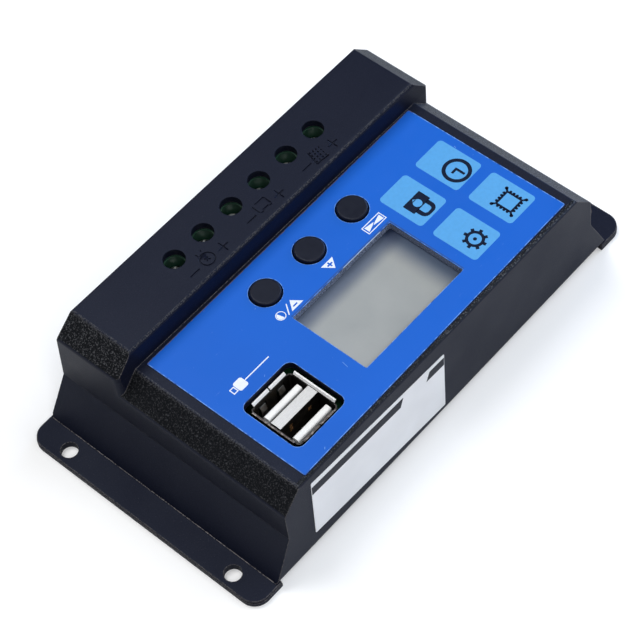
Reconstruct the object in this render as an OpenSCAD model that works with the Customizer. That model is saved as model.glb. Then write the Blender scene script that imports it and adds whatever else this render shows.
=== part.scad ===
// Wall-mounted solar charge controller: a two-level moulded case on a base plate with mounting ears.
// The raised ridge covers six rising-clamp terminals, the lower deck carries the face label, the display
// window, three push buttons and a double USB socket.
// Frame: X runs along the label's reading direction, Y points away from the terminals, Z points out of
// the mounting face, which lies at z = 0. The origin is the centre of the base plate's footprint.

/* [Overall] */
// Length over the mounting ears
unit_l = 133.5; // [131:0.5:136]
// Width of the mounting ears
unit_w = 70.3; // [69.8:0.1:71]
// Height of the terminal ridge above the mounting face
ridge_h = 34.5; // [34:0.1:35.5]
// Height of the label deck above the mounting face
deck_h = 28.05; // [27.6:0.05:28.6]

/* [Case] */
// Wall thickness of the moulded case
wall = 2; // [1.8:0.1:2.2]
// Distance from the centre to the upright end walls
wall_x = 53.75; // [53:0.25:55]
// Distance from the centre to the foot of the flared ends
foot_x = 59.6; // [59:0.2:60.6]
// Leg of the 45 degree chamfer along both ends
end_chamfer = 5.5; // [4.5:0.5:6.5]
// Height at which the end walls start to flare out
flare_h = 14; // [12:0.5:16]
// Radius of the moulded top edges
edge_r = 0.6; // [0.3:0.1:0.8]
// Radius of the terminal ridge's upper inner edge
ridge_edge_r = 1.1; // [0.6:0.1:1.6]
// Radius of the upright inner corners of the terminal ridge
ridge_corner_r = 1.8; // [1:0.1:2.4]
// Radius of the edges between the end walls and their chamfers
shoulder_r = 1.4; // [0.6:0.1:2]
// Position of the ridge's upper inner edge
ridge_y = -14.35; // [-14.9:0.05:-14.3]
// Position of the foot of the ridge's inner face
slope_foot_y = -14.15; // [-14.25:0.05:-13.9]

/* [Mounting] */
// Thickness of the base plate
plate_t = 2; // [1.8:0.1:2.2]
// Hole spacing along the unit
hole_pitch_x = 126.8; // [126.4:0.1:127.2]
// Hole spacing across the unit
hole_pitch_y = 50.6; // [50:0.2:51.2]
// Diameter of the mounting holes
hole_d = 4.2; // [4:0.1:4.5]
// Corner radius of the ears
ear_r = 4; // [3:0.5:5]

/* [Terminals] */
// Distance between neighbouring terminals
term_pitch = 9.5; // [9.4:0.05:9.6]
// Position of the terminal screws across the unit
term_y = -24.05; // [-24.3:0.05:-23.8]
// Travel of a clamp cage from fully open to fully closed
clamp_travel = 3; // [2:0.5:3]
// Thread diameter of a terminal screw
term_screw_d = 3; // [2.6:0.1:3]
// Diameter of the screwdriver holes in the ridge
driver_hole_d = 5.3; // [5.1:0.1:5.6]

/* [Face] */
// Distance between neighbouring push buttons
button_pitch = 15; // [14:0.5:16]
// Position of the button row across the unit
button_y = -5.15; // [-5.3:0.05:-5]
// Diameter of the holes that the buttons stand in
button_hole_d = 8; // [7.8:0.1:8.4]
// How far the buttons stand proud of the deck
button_proud = 0.9; // [0.6:0.1:1.2]
// Length of the display window
window_l = 33.7; // [33:0.1:34.4]
// Width of the display window
window_w = 21.5; // [21:0.1:22]
// Length of the opening round the USB socket
usb_opening_l = 16.2; // [15.6:0.1:16.6]
// Width of the opening round the USB socket
usb_opening_w = 17; // [16.4:0.1:17.2]

/* [Hidden] */
$fn = 48;

case_black = [0.13, 0.13, 0.15];
screw_steel = [0.72, 0.72, 0.74];
board_green = [0.05, 0.3, 0.16];
terminal_green = [0.1, 0.42, 0.22];
cut = 0.01; // overshoot of cutters past the faces they open

// Case: drafted long sides, and the shallow bevel along their foot
front_foot_y = 35;
front_top_y = 33.86;
back_foot_y = -34.8;
back_top_y = -32.6;
back_edge_r = 0.4;
foot_bevel_h = 1.2;
foot_bevel_y = 0.4;
slope_lean = (ridge_h - deck_h) / (slope_foot_y - ridge_y);
bevel_top = plate_t + foot_bevel_h;
function back_y(z) = back_foot_y + (back_top_y - back_foot_y) * (z - bevel_top) / (ridge_h - bevel_top);
function slope_y(z) = ridge_y + (ridge_h - z) / slope_lean;

// Bosses for the four case screws and the four display board screws
case_boss_x = 47.5;
case_boss_y = 27.8;
case_boss_r = 3;
pilot_r = 1.2;
pilot_top = 14;
thread_gap = 0.03; // drawn between a screw's shank and its pilot hole
small_boss_x = 22.9;
small_boss_y = [-8.2, 27.2];
small_boss_r = 2.1;
small_pilot_r = 0.8;
small_pilot_depth = 4.5;
gusset_t = 1.2;

// Main board, lying on posts of the base plate
board_t = 1.6;
board_z = 8;
board_top = board_z + board_t;
board_x = 44;
board_y = [-32.1, 31.2];
post_x = 38;
post_y = [-27.5, 28.9];
post_r = 2.5;
post_pilot_r = 0.9;

// Display board, hanging from the small bosses
display_z = 18.4;
display_top = display_z + board_t;
display_x = 25.2;
display_y = [-10.9, 29.4];

// Display window, label and USB opening
window_c = [-0.5, 14.85];
window_r = 0.4;
label_c = [-0.22, 9.61];
label_size = [91.4, 46];
label_r = 0.4;
label_t = 0.15;
label_turn = 0.4; // the film is stuck on a little askew
usb_opening_c = [33.3, 19.3];
usb_opening_r = 2;

// Terminals: three two-pole modules side by side, all heights from the mounting face
term_mid_x = 0.1;
module_w = 2 * term_pitch;
module_gap = 0.06;
block_front_y = -33.4;
block_shoulder_y = -30.4;
block_rear_y = -17.2;
block_shoulder_z = 20.3;
block_top = ridge_h - wall - 0.3;
block_side_gap = 0.25; // between the terminal blocks and their opening in the back wall
block_end_gap = 0.3;
entry_size = [5.4, 4.6];
entry_z = 14.8;
cage_size = [6.8, 6, 10];
cage_z = board_top + 1.9;
cage_floor = 1.2;
cage_wall = 0.8;
cage_nut = 2.3;
busbar_z = 17.5;
busbar_t = 1.2;
busbar_w = 4.8;
web_z = cage_z + cage_size[2] + clamp_travel + 1.4;
web_t = 1.2;
head_h = 2.2;
head_r = 2.3;
well_r = 2.5;

// Push buttons and switches
cap_r = button_hole_d / 2 - 0.3;
cap_flange_r = 4.8;
cap_foot_r = 2.4;
cap_rim_r = 0.5;
flange_z = [deck_h - wall - 1.15, deck_h - wall - 0.35];
cap_top = deck_h + button_proud;
switch_h = 3.5;
switch_half_w = 3;
switch_z = display_top;
plunger_r = 1.75;
plunger_top = 24.7;
plunger_depth = 1.4;
plunger_gap = 0.1;
plunger_sink = 0.7; // room under the plunger for its travel

// Display stack, from the display board up
backlight_h = 3.3;
glass_t = 1.1;
polariser_t = 0.2;
polariser_top = deck_h - wall - 0.2;
glass_z = polariser_top - polariser_t - 2 * glass_t;
glass_size = [37.6, 25.1];
glass_ledge = 0.9;

// Double USB socket
usb_c = [33.05, 19];
usb_size = [13.1, 14.4];
usb_top = 26.7;
usb_lip_h = 0.9;
usb_lip_out = 0.55;
usb_sheet = 0.35;
usb_base_top = 15;
tongue_top = 25.2;
tongue_size = [10.9, 1.75];
tongue_y = [15.65, 24.05];
divider_y = [17.7, 20.45];
contact_pitch = 2.35;

function term_x(i) = term_mid_x + (i - 3.5) * term_pitch; // i = 1 to 6
function button_x(i) = (i - 2) * button_pitch; // i = 1 to 3

// ---------- Helpers ----------

// A polygon's outline moved inward by t, with mitred corners; points run anticlockwise.
function inset(p, t) = [
    for (i = [0:len(p) - 1])
        let (a = p[(i + len(p) - 1) % len(p)], b = p[i], c = p[(i + 1) % len(p)],
             u = (b - a) / norm(b - a), v = (c - b) / norm(c - b),
             m = [-u[1], u[0]], n = [-v[1], v[0]])
        b + t * (m + n) / (1 + m * n)
];

// A polygon with corner i rounded to radius r[i] in steps flat facets; a radius of 0 keeps the corner.
function rounded(p, r, steps = 4) = [
    for (i = [0:len(p) - 1])
        let (a = p[(i + len(p) - 1) % len(p)], b = p[i], c = p[(i + 1) % len(p)],
             u = (a - b) / norm(a - b), v = (c - b) / norm(c - b),
             half = acos(u * v) / 2,
             centre = b + (u + v) / norm(u + v) * r[i] / sin(half),
             from = b + u * r[i] / tan(half) - centre,
             sweep = (180 - 2 * half) * sign(u[1] * v[0] - u[0] * v[1]))
        for (k = [0:(r[i] == 0 ? 0 : steps)])
            r[i] == 0 ? b : centre + turned(from, sweep * k / steps)
];
function turned(p, a) = [p[0] * cos(a) - p[1] * sin(a), p[0] * sin(a) + p[1] * cos(a)];

// Extrudes a YZ outline along X, and an XZ outline along Y.
module along_x(x0, x1) translate([x0, 0, 0]) rotate([90, 0, 90]) linear_extrude(x1 - x0) children();
module along_y(y0, y1) translate([0, y1, 0]) rotate([90, 0, 0]) linear_extrude(y1 - y0) children();

// Upright prism between two heights.
module upright(z0, z1) translate([0, 0, z0]) linear_extrude(z1 - z0) children();

// Rounded rectangle centred on the origin, made of true arcs.
module round_rect(size, r) {
    square([size[0] - 2 * r, size[1]], center = true);
    square([size[0], size[1] - 2 * r], center = true);
    for (x = [-1, 1], y = [-1, 1])
        translate([x * (size[0] / 2 - r), y * (size[1] / 2 - r)]) circle(r);
}

// Box given by its lowest and highest corners.
module box(a, b) translate(a) cube(b - a);

module post(x, y, r, z0, z1) translate([x, y, z0]) cylinder(r = r, h = z1 - z0);

// ---------- Case ----------

// Outline across the unit (YZ) below the deck, and below the ridge; the foot is at height z0.
function deck_section(z0) = [
    [back_foot_y + foot_bevel_y, z0], [front_foot_y - foot_bevel_y, z0],
    [front_foot_y, bevel_top], [front_top_y, deck_h],
    [back_y(deck_h), deck_h], [back_foot_y, bevel_top]
];
function ridge_section(z0) = [
    [back_foot_y + foot_bevel_y, z0], [slope_y(z0), z0],
    [ridge_y, ridge_h], [back_top_y, ridge_h],
    [back_foot_y, bevel_top]
];

// Outline along the unit (XZ): flared foot, upright end wall and chamfer under a flat top.
function end_section(top, z0) =
    let (out = foot_x + (plate_t - z0) * (foot_x - wall_x) / (flare_h - plate_t))
    [
        [-out, z0], [out, z0], [wall_x, flare_h], [wall_x, top - end_chamfer],
        [wall_x - end_chamfer, top], [-wall_x + end_chamfer, top],
        [-wall_x, top - end_chamfer], [-wall_x, flare_h]
    ];
end_radii = [0, 0, 0, shoulder_r, edge_r, edge_r, shoulder_r, 0];

// The closed outer form: deck body and ridge body, each the crossing of its two sections.
module outer_form() {
    intersection() {
        along_x(-unit_l, unit_l) polygon(rounded(deck_section(plate_t), [0, 0, 0, edge_r, 0, 0]));
        along_y(-unit_w, unit_w) polygon(rounded(end_section(deck_h, plate_t), end_radii));
    }
    intersection() {
        along_x(-unit_l, unit_l)
            polygon(rounded(ridge_section(plate_t), [0, 0, ridge_edge_r, back_edge_r, 0]));
        along_y(-unit_w, unit_w) polygon(rounded(end_section(ridge_h, plate_t), end_radii));
        // plan of the ridge, with its inner corners rounded
        upright(flare_h, ridge_h + 1) polygon(rounded(
            [
                [-wall_x, back_foot_y - 1], [wall_x, back_foot_y - 1],
                [wall_x, slope_y(deck_h - end_chamfer)], [-wall_x, slope_y(deck_h - end_chamfer)]
            ],
            [0, 0, ridge_corner_r, ridge_corner_r]));
    }
}

// The hollow inside, one wall thickness in and open at the foot.
module inner_form(t = wall) {
    open_z = plate_t - t - 1;
    intersection() {
        along_x(-unit_l, unit_l) polygon(inset(deck_section(open_z), t));
        along_y(-unit_w, unit_w) polygon(inset(end_section(deck_h, open_z), t));
    }
    intersection() {
        along_x(-unit_l, unit_l) polygon(inset(ridge_section(open_z), t));
        along_y(-unit_w, unit_w) polygon(inset(end_section(ridge_h, open_z), t));
    }
}

module case_bosses() {
    for (x = [-1, 1], y = [-1, 1])
        post(x * case_boss_x, y * case_boss_y, case_boss_r, plate_t, deck_h);
    for (x = [-1, 1], y = small_boss_y)
        post(x * small_boss_x, y, small_boss_r, display_top, deck_h - wall / 2);
    // gusset ribs that tie the tall bosses to the end walls
    for (x = [-1, 1], y = [-1, 1])
        box([min(x * case_boss_x, x * wall_x), y * case_boss_y - gusset_t / 2, flare_h],
            [max(x * case_boss_x, x * wall_x), y * case_boss_y + gusset_t / 2, deck_h - wall]);
}

module case_boss_pilots() {
    for (x = [-1, 1], y = [-1, 1])
        post(x * case_boss_x, y * case_boss_y, pilot_r, plate_t - cut, pilot_top);
    for (x = [-1, 1], y = small_boss_y)
        post(x * small_boss_x, y, small_pilot_r, display_top - cut,
             display_top + small_pilot_depth);
}

module at_window() translate(window_c) children();
module window_outline() at_window() round_rect([window_l, window_w], window_r);
module usb_opening_outline()
    translate(usb_opening_c) round_rect([usb_opening_l, usb_opening_w], usb_opening_r);

module upper_case() color(case_black) difference() {
    union() {
        difference() {
            outer_form();
            inner_form();
        }
        intersection() {
            case_bosses();
            inner_form(wall / 2);
        }
    }
    case_boss_pilots();
    // display window, USB opening and button holes
    upright(deck_h - wall - 1, deck_h + 1) {
        window_outline();
        usb_opening_outline();
        for (i = [1:3])
            translate([button_x(i), button_y]) circle(button_hole_d / 2);
    }
    // screwdriver holes in the ridge
    for (i = [1:6])
        post(term_x(i), term_y, driver_hole_d / 2, ridge_h - wall - 1, ridge_h + 1);
    // opening for the terminal blocks in the back wall
    box([term_mid_x - 1.5 * module_w - block_side_gap, back_foot_y - 1, board_top - block_end_gap],
        [term_mid_x + 1.5 * module_w + block_side_gap, block_shoulder_y, block_shoulder_z + block_end_gap]);
}

// ---------- Base plate ----------

waist_x = 58.1; // the plate is inset under the case up to here
waist_w = 67.4;
groove_z = 1.15; // fine parting groove round the ears
groove_h = 0.25;
groove_depth = 0.3;
upper_inset = 0.1; // of the plate's edge above the groove
rim_size = [108.6, 64.4];
rim_t = 1.2;
rim_top = 4.2;
screw_sink_h = 1.3;
screw_head_r = 2.6;
case_screw_l = 9;
shank_gap = 0.35;
sink_gap = 0.25;
board_shank_gap = 0.3; // round a screw where it passes through a circuit board

module plate_outline(inset_by = 0) {
    difference() {
        round_rect([unit_l - 2 * inset_by, unit_w - 2 * inset_by], ear_r);
        square([2 * (waist_x + inset_by), unit_w + 2], center = true);
    }
    square([2 * (waist_x + inset_by) + cut, waist_w], center = true);
}

module base_plate() color(case_black) difference() {
    union() {
        upright(0, groove_z) plate_outline();
        upright(groove_z, groove_z + groove_h) plate_outline(groove_depth);
        upright(groove_z + groove_h, plate_t) plate_outline(upper_inset);
        // locating rim inside the case's foot
        difference() {
            upright(plate_t, rim_top) square(rim_size, center = true);
            upright(plate_t - 1, rim_top + 1) square(rim_size - 2 * [rim_t, rim_t], center = true);
        }
        for (x = [-1, 1], y = post_y)
            post(x * post_x, y, post_r, plate_t - cut, board_z);
    }
    for (x = [-1, 1], y = [-1, 1])
        post(x * hole_pitch_x / 2, y * hole_pitch_y / 2, hole_d / 2, -1, plate_t + 1);
    // sunk holes for the case screws
    for (x = [-1, 1], y = [-1, 1]) {
        post(x * case_boss_x, y * case_boss_y, pilot_r + shank_gap, -1, plate_t + 1);
        post(x * case_boss_x, y * case_boss_y, screw_head_r + sink_gap, -1, screw_sink_h);
    }
    for (x = [-1, 1], y = post_y)
        post(x * post_x, y, post_pilot_r, plate_t + 1, board_z + 1);
}

// Proportions of a pan head, as shares of its radius
crown_share = 0.7;
recess_reach = 0.55;
recess_half_w = 0.12;
tip_share = 0.2; // of the shank's radius

// Cross-recessed pan head screw: head underside at z = 0, shank pointing down.
module pan_screw(head_r, head_h, shank_r, shank_l) {
    reach = head_r * recess_reach;
    half_w = head_r * recess_half_w;
    difference() {
        union() {
            cylinder(r = head_r, h = head_h / 2);
            translate([0, 0, head_h / 2])
                cylinder(r1 = head_r, r2 = head_r * crown_share, h = head_h / 2);
        }
        for (a = [0, 90])
            rotate(a) box([-reach, -half_w, head_h / 2], [reach, half_w, head_h + 1]);
    }
    translate([0, 0, -shank_l]) cylinder(r = shank_r, h = shank_l);
    translate([0, 0, -shank_l - shank_r])
        cylinder(r1 = shank_r * tip_share, r2 = shank_r, h = shank_r);
}

module case_screws() color(screw_steel)
    for (x = [-1, 1], y = [-1, 1])
        translate([x * case_boss_x, y * case_boss_y, screw_sink_h]) rotate([180, 0, 0])
            pan_screw(screw_head_r, screw_sink_h - 0.1, pilot_r - thread_gap, case_screw_l);

// ---------- Face label and rating sticker ----------

module face_label() color([0.16, 0.42, 0.85])
    upright(deck_h, deck_h + label_t) difference() {
        translate(label_c) rotate(label_turn) round_rect(label_size, label_r);
        window_outline();
        usb_opening_outline();
        for (i = [1:3])
            translate([button_x(i), button_y]) circle(button_hole_d / 2);
    }

sticker_size = [44.8, 18.5];
sticker_t = 0.12;
sticker_x = 23.2; // centre of the sticker along the front face
sticker_z = 14.8;
sticker_tilt = 3.2;
sticker_r = 0.3;
face_lean = atan((front_foot_y - front_top_y) / (deck_h - bevel_top));

module rating_sticker() color("white")
    translate([0, front_foot_y, bevel_top]) rotate([90 + face_lean, 0, 0])
        translate([sticker_x, sticker_z - bevel_top, -sticker_t - cut])
            rotate(sticker_tilt) linear_extrude(sticker_t) round_rect(sticker_size, sticker_r);

// ---------- Display stack ----------

polariser_margin = [2, 1]; // hidden under the case round the window

module lcd_polariser() color([0.68, 0.69, 0.68])
    upright(polariser_top - polariser_t, polariser_top) at_window()
        square([window_l, window_w] + polariser_margin, center = true);

// Two plates; the lower one sticks out along both long edges as a ledge for the pins
module lcd_glass() color([0.75, 0.8, 0.8]) at_window() {
    upright(glass_z, glass_z + glass_t) square(glass_size, center = true);
    upright(glass_z + glass_t, glass_z + 2 * glass_t)
        square(glass_size - [0, 2 * glass_ledge], center = true);
}

backlight_inset = [3, 5];
lamp_size = [1.6, 12];
lamp_inset = 1.5;

module lcd_backlight() color("white") at_window() {
    upright(display_top, display_top + backlight_h)
        square(glass_size - backlight_inset, center = true);
    // lamp housing on the light guide's end
    upright(display_top, display_top + backlight_h - 1)
        translate([glass_size[0] / 2 - lamp_inset, 0]) square(lamp_size, center = true);
}

frame_gap = [0.2, 0.6];
frame_t = [1, 1];
frame_drop = 0.1; // of the frame's rim below the polariser's face

module lcd_frame() color(case_black) at_window()
    difference() {
        upright(display_top, polariser_top - frame_drop)
            square(glass_size + 2 * frame_gap + 2 * frame_t, center = true);
        upright(display_top - 1, polariser_top + 1)
            square(glass_size + 2 * frame_gap, center = true);
    }

lcd_pin_pitch = 2.54;
lcd_pin_count = 14;
lcd_pin_w = 0.6;
lcd_pin_t = 0.25;
lcd_pin_gap = 0.1; // between the leg and the glass
lcd_pin_grip = 0.7;
lcd_pin_tail = 0.8; // below the display board
pin_hole_r = 0.5;
lcd_hole_out = 0.22; // of the board's holes beyond the glass edge
function lcd_pin_x(i) = (i - (lcd_pin_count - 1) / 2) * lcd_pin_pitch; // i = 0 to lcd_pin_count - 1

// Clips that grip the glass along both long edges, each with a leg down through the display board
module lcd_pins() color(screw_steel) at_window() {
    leg_in = glass_size[1] / 2 + lcd_pin_gap;
    leg_out = leg_in + lcd_pin_t;
    grip = glass_size[1] / 2 - lcd_pin_grip;
    foot_z = display_z - lcd_pin_tail;
    ledge_z = glass_z + glass_t;
    for (side = [0, 180], i = [0:lcd_pin_count - 1])
        rotate(side) along_x(lcd_pin_x(i) - lcd_pin_w / 2, lcd_pin_x(i) + lcd_pin_w / 2) polygon([
            [leg_in, foot_z], [leg_out, foot_z],
            [leg_out, ledge_z + lcd_pin_t], [grip, ledge_z + lcd_pin_t],
            [grip, ledge_z], [leg_in, ledge_z],
            [leg_in, glass_z], [grip, glass_z],
            [grip, glass_z - lcd_pin_t], [leg_in, glass_z - lcd_pin_t]
        ]);
}

// ---------- Display board ----------

header_y = -9.4;
header_pitch = 2.54;
header_count = 8;
header_size = [header_count * header_pitch, 2.4];
header_h = 2.5;
header_pin_half = 0.32;
header_pin_z = [board_z - 1.4, display_top + 0.9];
function header_x(i) = (i - (header_count - 1) / 2) * header_pitch; // i = 0 to header_count - 1

module display_board() color(board_green) difference() {
    box([-display_x, display_y[0], display_z], [display_x, display_y[1], display_top]);
    for (x = [-1, 1], y = small_boss_y)
        post(x * small_boss_x, y, small_pilot_r + board_shank_gap, display_z - 1, display_top + 1);
    for (i = [0:header_count - 1])
        post(header_x(i), header_y, pin_hole_r, display_z - 1, display_top + 1);
    for (side = [-1, 1], i = [0:lcd_pin_count - 1])
        at_window() post(lcd_pin_x(i), side * (glass_size[1] / 2 + lcd_hole_out), pin_hole_r,
                         display_z - 1, display_top + 1);
}

small_head = [1.7, 1.2]; // radius and height
small_screw_l = 4.6;

module display_screws() color(screw_steel)
    for (x = [-1, 1], y = small_boss_y)
        translate([x * small_boss_x, y, display_z]) rotate([180, 0, 0])
            pan_screw(small_head[0], small_head[1], small_pilot_r - thread_gap, small_screw_l);

module board_header() {
    color(case_black) upright(board_top, board_top + header_h)
        translate([0, header_y]) square(header_size, center = true);
    color([0.85, 0.7, 0.3]) for (i = [0:header_count - 1])
        translate([header_x(i), header_y, 0])
            box([-header_pin_half, -header_pin_half, header_pin_z[0]],
                [header_pin_half, header_pin_half, header_pin_z[1]]);
}

// ---------- Push buttons ----------

module tact_switches() color([0.2, 0.2, 0.22])
    for (i = [1:3])
        difference() {
            box([button_x(i) - switch_half_w, button_y - switch_half_w, switch_z],
                [button_x(i) + switch_half_w, button_y + switch_half_w, switch_z + switch_h]);
            post(button_x(i), button_y, plunger_r + plunger_gap,
                 switch_z + switch_h - plunger_depth - plunger_sink, switch_z + switch_h + 1);
        }

// Keycap: rounded rim, a flange that is held below the deck, and a foot that rests on the plunger
module keycap(i) color(case_black) translate([button_x(i), button_y, 0]) rotate_extrude()
    polygon(rounded(
        [
            [0, plunger_top], [cap_foot_r, plunger_top],
            [cap_foot_r, flange_z[0]], [cap_flange_r, flange_z[0]],
            [cap_flange_r, flange_z[1]], [cap_r, flange_z[1]],
            [cap_r, cap_top], [0, cap_top]
        ],
        [0, 0, 0, 0, 0, 0, cap_rim_r, 0]));

module plunger(i) color([0.15, 0.15, 0.16])
    post(button_x(i), button_y, plunger_r, switch_z + switch_h - plunger_depth, plunger_top);

// ---------- Main board ----------

busbar_hole_r = 0.85;
usb_tab_slot = [1.1, 0.5]; // half sizes
usb_tab_in = 0.2;
contact_hole_r = 0.6;
contact_hole_out = 0.2;

module main_board() color(board_green) difference() {
    box([-board_x, board_y[0], board_z], [board_x, board_y[1], board_top]);
    for (x = [-1, 1], y = post_y)
        post(x * post_x, y, post_pilot_r + board_shank_gap, board_z - 1, board_top + 1);
    for (i = [1:6], s = [-1, 1])
        post(term_x(i) + s * busbar_pin_x, busbar_leg_y + busbar_t / 2, busbar_hole_r,
             board_z - 1, board_top + 1);
    for (i = [0:header_count - 1])
        post(header_x(i), header_y, pin_hole_r, board_z - 1, board_top + 1);
    for (x = usb_tab_x, y = [-1, 1])
        translate([usb_c[0] + x, usb_c[1] + y * (usb_size[1] / 2 - usb_tab_in), 0])
            box([-usb_tab_slot[0], -usb_tab_slot[1], board_z - 1],
                [usb_tab_slot[0], usb_tab_slot[1], board_top + 1]);
    for (y = tongue_y, k = [-1.5:1.5])
        post(usb_c[0] + k * contact_pitch, y - tongue_size[1] / 2 - contact_hole_out, contact_hole_r,
             board_z - 1, board_top + 1);
}

board_head = [2.1, 1.5]; // radius and height
board_screw_l = 4;

module board_screws() color(screw_steel)
    for (x = [-1, 1], y = post_y)
        translate([x * post_x, y, board_top])
            pan_screw(board_head[0], board_head[1], post_pilot_r - thread_gap, board_screw_l);

transistor_y = [-6, 6, 18];
transistor_w = 10.2;
sink_x = [-42.5, -25.5];
sink_z = [board_top + 0.2, board_top + 2.2];
tab_hole_x = -39;
tab_x = [-42, -28.5];
tab_t = 1.3;
package_x = [-35.8, -26.2];
package_h = 4.6;
package_bevel = 0.4;
leg_pitch = 2.54;
leg_x = -23.4;
leg_z = [2.2, 2.7]; // above the heat sink
sink_pilot_r = 1.25;
sink_margin = 6.5; // beyond the outer transistors' middles
sink_head = [2.6, 1.8]; // radius and height
sink_screw_l = 2;
tab_hole_r = 1.8;
package_inset = 0.1;
leg_half_w = 0.4;
leg_t = 0.5;
leg_root = 0.2; // sunk into the package

// Flat power transistor: thick epoxy body, thin metal tab with its screw hole, three bent legs
module power_transistor() {
    color("silver") difference() {
        box([tab_x[0], -transistor_w / 2, sink_z[1]], [tab_x[1], transistor_w / 2, sink_z[1] + tab_t]);
        post(tab_hole_x, 0, tab_hole_r, sink_z[1] - 1, sink_z[1] + 3);
    }
    color("black") along_y(-transistor_w / 2 + package_inset, transistor_w / 2 - package_inset)
        translate([0, sink_z[1]]) polygon([
            [package_x[0] + package_bevel, 0], [package_x[1], 0],
            [package_x[1], package_h - package_bevel], [package_x[1] - package_bevel, package_h],
            [package_x[0] + package_bevel, package_h], [package_x[0], package_h - package_bevel]
        ]);
    color("silver") for (y = [-leg_pitch, 0, leg_pitch]) {
        box([package_x[1] - leg_root, y - leg_half_w, sink_z[1] + leg_z[0]],
            [leg_x, y + leg_half_w, sink_z[1] + leg_z[1]]);
        box([leg_x - leg_t, y - leg_half_w, board_top], [leg_x, y + leg_half_w, sink_z[1] + leg_z[1]]);
    }
}

module power_transistors()
    for (y = transistor_y)
        translate([0, y, 0]) power_transistor();

module heat_sink() color([0.8, 0.81, 0.83]) difference() {
    box([sink_x[0], transistor_y[0] - sink_margin, sink_z[0]],
        [sink_x[1], transistor_y[2] + sink_margin, sink_z[1]]);
    for (y = transistor_y)
        post(tab_hole_x, y, sink_pilot_r, sink_z[0] - 1, sink_z[1] + 1);
}

module heat_sink_screws() color(screw_steel)
    for (y = transistor_y)
        translate([tab_hole_x, y, sink_z[1] + tab_t])
            pan_screw(sink_head[0], sink_head[1], sink_pilot_r - thread_gap, sink_screw_l);

capacitor_y = [-9, 1];
capacitor_x = 39.2;
capacitor_r = 4;
capacitor_h = 12;
crimp = 0.4;
crimp_z = 1;

// Upright electrolytic capacitor with the crimp groove of its can near the foot
module capacitor() rotate_extrude()
    polygon([
        [0, 0], [capacitor_r, 0], [capacitor_r, crimp_z], [capacitor_r - crimp, crimp_z + crimp],
        [capacitor_r, crimp_z + 2 * crimp], [capacitor_r, capacitor_h - crimp],
        [capacitor_r - crimp, capacitor_h], [0, capacitor_h]
    ]);

module capacitors() color([0.1, 0.12, 0.3])
    for (y = capacitor_y)
        translate([capacitor_x, y, board_top]) capacitor();

inductor_c = [29.5, -3];
inductor_r = 5;
inductor_waist_r = 4.3;
inductor_h = 7.2;
flange_t = 1.4;
flange_taper = 0.4;

// Drum core: two flanges with the winding's waist between them
module usb_inductor() color([0.3, 0.3, 0.32]) translate([inductor_c[0], inductor_c[1], board_top])
    rotate_extrude() polygon([
        [0, 0], [inductor_r, 0],
        [inductor_r, flange_t], [inductor_waist_r, flange_t + flange_taper],
        [inductor_waist_r, inductor_h - flange_t - flange_taper], [inductor_r, inductor_h - flange_t],
        [inductor_r, inductor_h], [0, inductor_h]
    ]);

shunt_x = [-12, 12];
shunt_y = -14;
shunt_span = 10;
shunt_r = 0.8;
shunt_h = 4;
shunt_bend = 1.8;

// Thick resistance wire bent to a staple that stands on the board
module current_shunt() {
    for (s = [-1, 1]) {
        translate([s * shunt_span / 2, 0, 0]) cylinder(r = shunt_r, h = shunt_h - shunt_bend);
        translate([s * (shunt_span / 2 - shunt_bend), 0, shunt_h - shunt_bend]) rotate([90, 0, 0])
            rotate([0, s < 0 ? 180 : 0, 0])
                rotate_extrude(angle = 90) translate([shunt_bend, 0]) circle(shunt_r);
    }
    translate([-shunt_span / 2 + shunt_bend, 0, shunt_h]) rotate([0, 90, 0])
        cylinder(r = shunt_r, h = shunt_span - 2 * shunt_bend);
}

module current_shunts() color([0.7, 0.45, 0.3])
    for (x = shunt_x)
        translate([x, shunt_y, board_top]) current_shunt();

chip_y = 8;
chip_half = [5, 3.75];
chip_z = [0.2, 1.9]; // above the board
chip_leg_pitch = 1.27;
chip_leg_y = 4.3;
chip_leg_half = [0.2, 0.75];
chip_leg_h = 0.4;

// Small outline package with eight legs a side
module microcontroller() translate([0, chip_y, board_top]) {
    color("black") box([-chip_half[0], -chip_half[1], chip_z[0]], [chip_half[0], chip_half[1], chip_z[1]]);
    color("silver") for (k = [-3.5:3.5], side = [-1, 1])
        translate([k * chip_leg_pitch, side * chip_leg_y, 0])
            box([-chip_leg_half[0], -chip_leg_half[1], 0],
                [chip_leg_half[0], chip_leg_half[1], chip_leg_h]);
}

// ---------- Terminals ----------

busbar_leg_y = -20.1;
busbar_end_y = term_y - cage_size[1] / 2 - 1.6;
busbar_foot_z = board_top + 0.3;
busbar_pin_x = 1.5;
busbar_pin_half = 0.5;
busbar_pin_z = board_z - 1.5;
shaft_gap = [0.4, 0.8]; // round the cage, both sides together
seat_depth = 1.3;
seat_gap = 0.1;
entry_r = 1;
lead_in = 1.3; // the wire entry's wider mouth
lead_in_r = 1.4;
lead_in_depth = 0.7;
web_gap = 0.08;

// One two-pole module; k = -1, 0 or 1 along the row
module terminal_block(k) color(terminal_green)
    difference() {
        along_x(term_mid_x + (k - 0.5) * module_w + module_gap / 2,
                term_mid_x + (k + 0.5) * module_w - module_gap / 2)
            polygon([
                [block_front_y, board_top], [block_rear_y, board_top],
                [block_rear_y, block_top - 1], [block_rear_y - 1, block_top],
                [block_shoulder_y, block_top], [block_shoulder_y, block_shoulder_z],
                [block_front_y, block_shoulder_z]
            ]);
        for (s = [-0.5, 0.5])
            translate([term_mid_x + k * module_w + s * term_pitch, 0, 0]) terminal_hollow();
    }

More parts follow.
